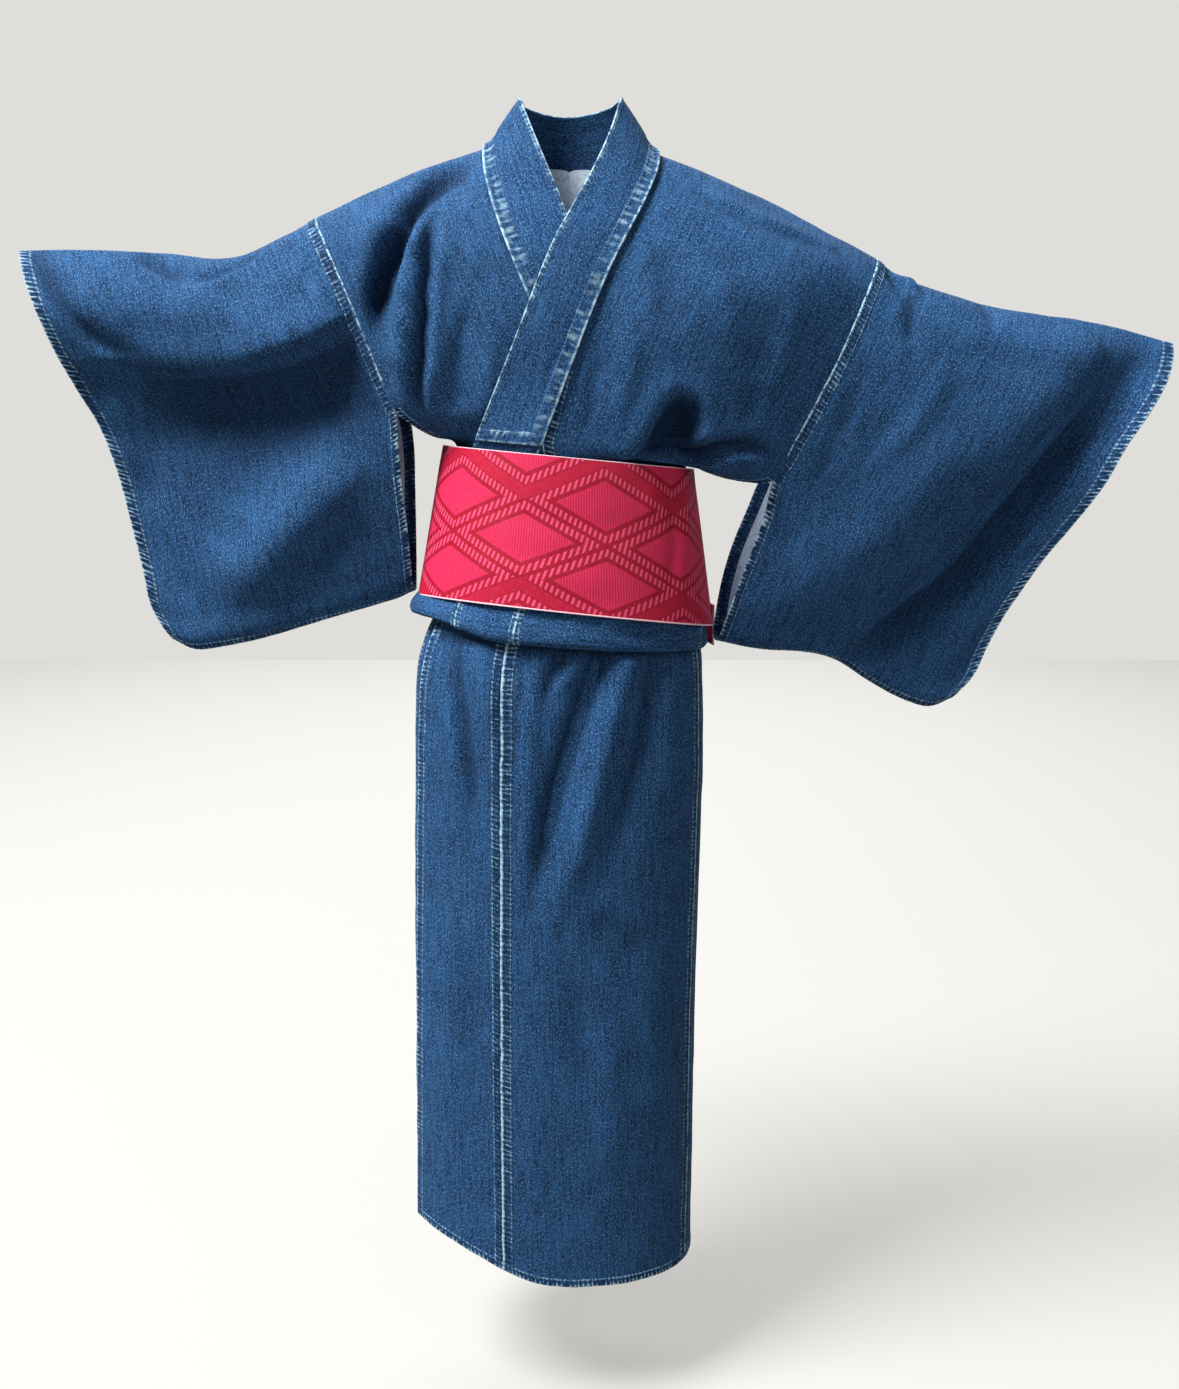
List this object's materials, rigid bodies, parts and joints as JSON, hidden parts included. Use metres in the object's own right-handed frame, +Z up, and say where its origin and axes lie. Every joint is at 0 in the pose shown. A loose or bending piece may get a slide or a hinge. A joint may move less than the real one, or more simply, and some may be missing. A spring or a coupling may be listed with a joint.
{
  "type": "denim yukata robe with a half-width obi, filled out as worn",
  "caption": "Ankle-length wrap robe with wide bag sleeves, a banded collar, a waist tuck and a tied flat belt, hollow and filled out as worn.",
  "frame": {"origin": "middle of the neck base at shoulder height, where the wearer's shoulders hold the robe up", "axes": "+Z up, -Y the front of the robe, +X the wearer's left"},
  "size_m": [1.2721, 0.302, 1.3366],
  "materials": {
    "denim": "indigo cotton twill, unevenly worn, paler on its reverse",
    "denim_collar": "indigo cotton twill, folded double",
    "obi_cloth": "woven red belt cloth with a slight sheen"
  },
  "bodies": {
    "root": {"body_left_front": "denim", "body_left_back": "denim", "body_right_front": "denim", "body_right_back": "denim", "okumi_left_upper": "denim", "okumi_right_upper": "denim", "sleeve_left_front": "denim", "sleeve_left_back": "denim", "sleeve_right_front": "denim", "sleeve_right_back": "denim", "collar": "denim_collar", "over_collar": "denim_collar", "okumi_left_skirt": "denim", "front_left_skirt": "denim", "back_left_skirt": "denim", "back_right_skirt": "denim", "front_right_skirt": "denim", "okumi_right_skirt": "denim", "waist_tuck": "denim", "obi_wrap": "obi_cloth", "obi_bow": "obi_cloth", "obi_knot": "obi_cloth", "obi_tail_left": "obi_cloth", "obi_tail_right": "obi_cloth"}
  },
  "joints": []
}
